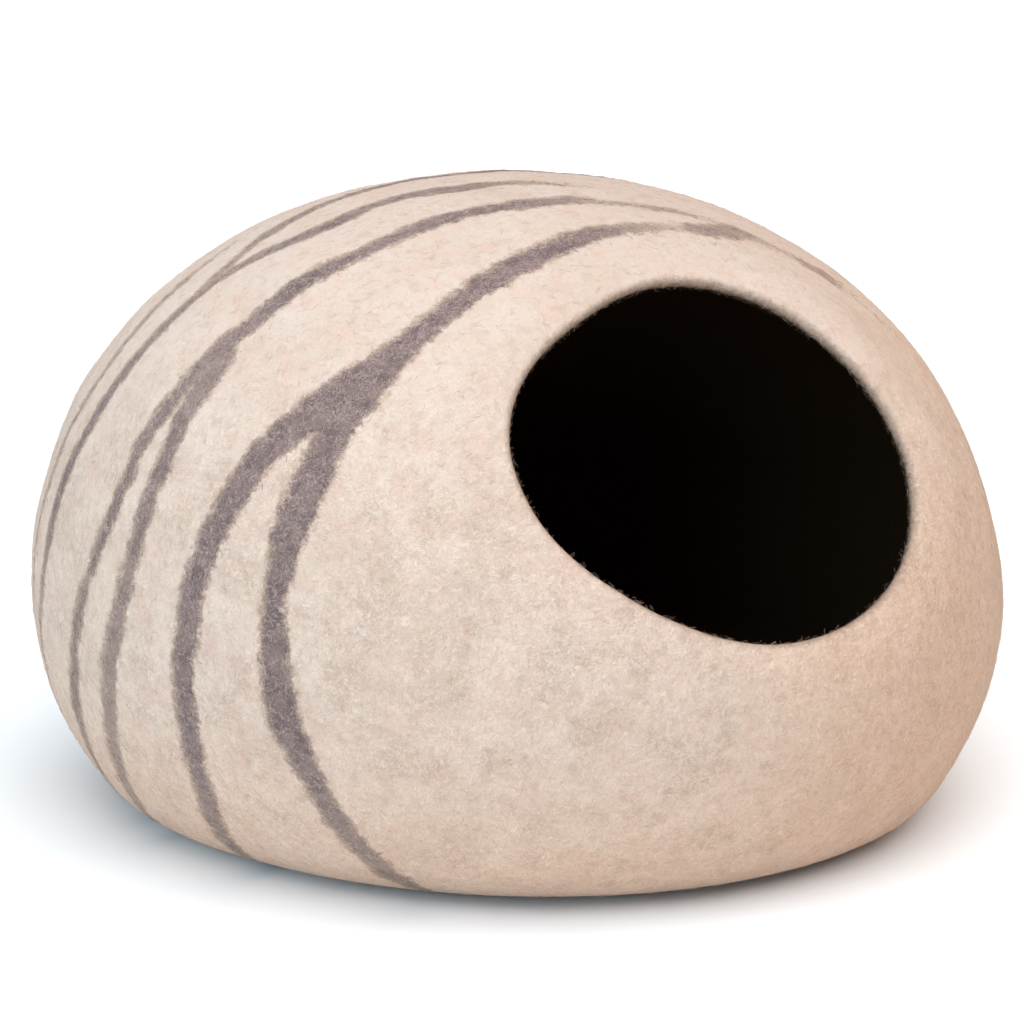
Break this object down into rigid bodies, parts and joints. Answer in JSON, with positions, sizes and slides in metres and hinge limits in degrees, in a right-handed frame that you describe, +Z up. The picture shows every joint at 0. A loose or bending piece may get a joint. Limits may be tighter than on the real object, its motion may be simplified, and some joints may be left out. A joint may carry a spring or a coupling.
{
  "type": "felt cat cave",
  "caption": "Hollow, rounded pet cave of thick wool felt with a flat foot and a rolled oval doorway in its upper side.",
  "frame": {"origin": "on the floor under the middle of the shell's box", "axes": "+Z up, doorway facing -Y and tilted up, +X to the right as seen from the doorway's side"},
  "size_m": [0.4838, 0.4812, 0.3133],
  "materials": {
    "wool_felt": "matt cream wool felt with dark grey bands felted in, fine surface fibres"
  },
  "bodies": {
    "root": {"felt_shell": "wool_felt"}
  },
  "joints": []
}
